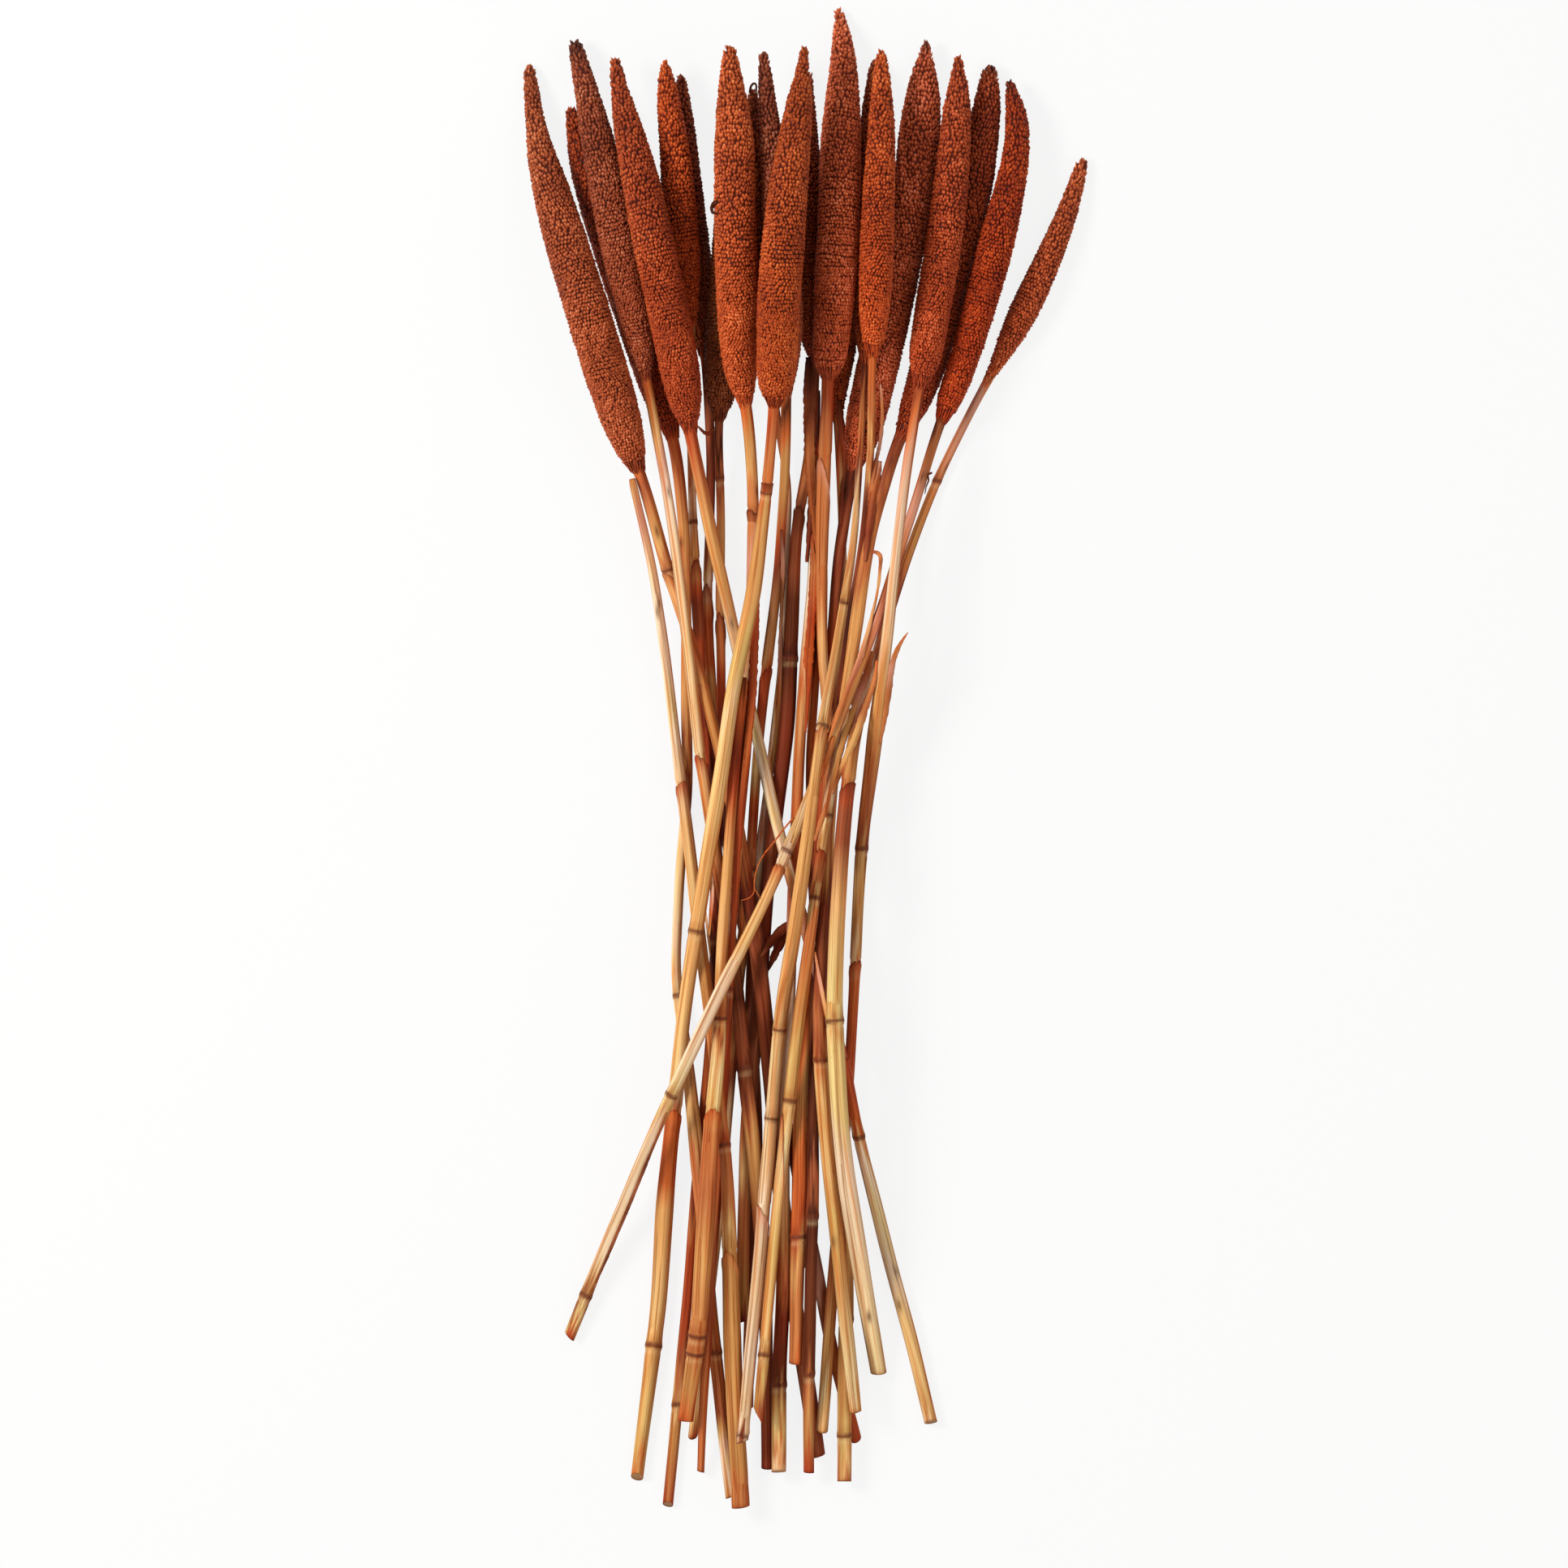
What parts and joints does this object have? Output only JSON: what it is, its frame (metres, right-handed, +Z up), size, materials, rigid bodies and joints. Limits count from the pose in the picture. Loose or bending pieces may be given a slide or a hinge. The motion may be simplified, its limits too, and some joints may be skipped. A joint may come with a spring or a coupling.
{
  "type": "bunch of dried millet spikes",
  "caption": "Loose, untied bunch of dried pearl millet stalks with rust-coloured grain spikes and straw stems, lying flat, fanned at both ends and crossing at the waist.",
  "frame": {"origin": "middle of the bunch's box in X and Y, on the surface that it lies on", "axes": "+Z up from the surface, +Y along the bunch from its cut ends to its grain heads, +X across it"},
  "size_m": [0.1902, 0.5052, 0.0571],
  "materials": {
    "rust_grain": "matte, dyed dry grain",
    "dried_stem": "dry straw, slightly glossy"
  },
  "bodies": {
    "root": {"millet_stalk_01": "rust_grain", "millet_stalk_02": "rust_grain", "millet_stalk_03": "rust_grain", "millet_stalk_04": "rust_grain", "millet_stalk_05": "rust_grain", "millet_stalk_06": "rust_grain", "millet_stalk_07": "rust_grain", "millet_stalk_08": "rust_grain", "millet_stalk_09": "rust_grain", "millet_stalk_10": "rust_grain", "millet_stalk_11": "rust_grain", "millet_stalk_12": "rust_grain", "millet_stalk_13": "rust_grain", "millet_stalk_14": "rust_grain", "millet_stalk_15": "rust_grain", "millet_stalk_16": "rust_grain", "millet_stalk_17": "rust_grain", "millet_stalk_18": "rust_grain", "millet_stalk_19": "rust_grain", "millet_stalk_20": "rust_grain", "millet_stalk_21": "rust_grain", "bare_stalk_1": "dried_stem", "bare_stalk_2": "dried_stem", "bare_stalk_3": "dried_stem", "bare_stalk_4": "dried_stem"}
  },
  "joints": []
}
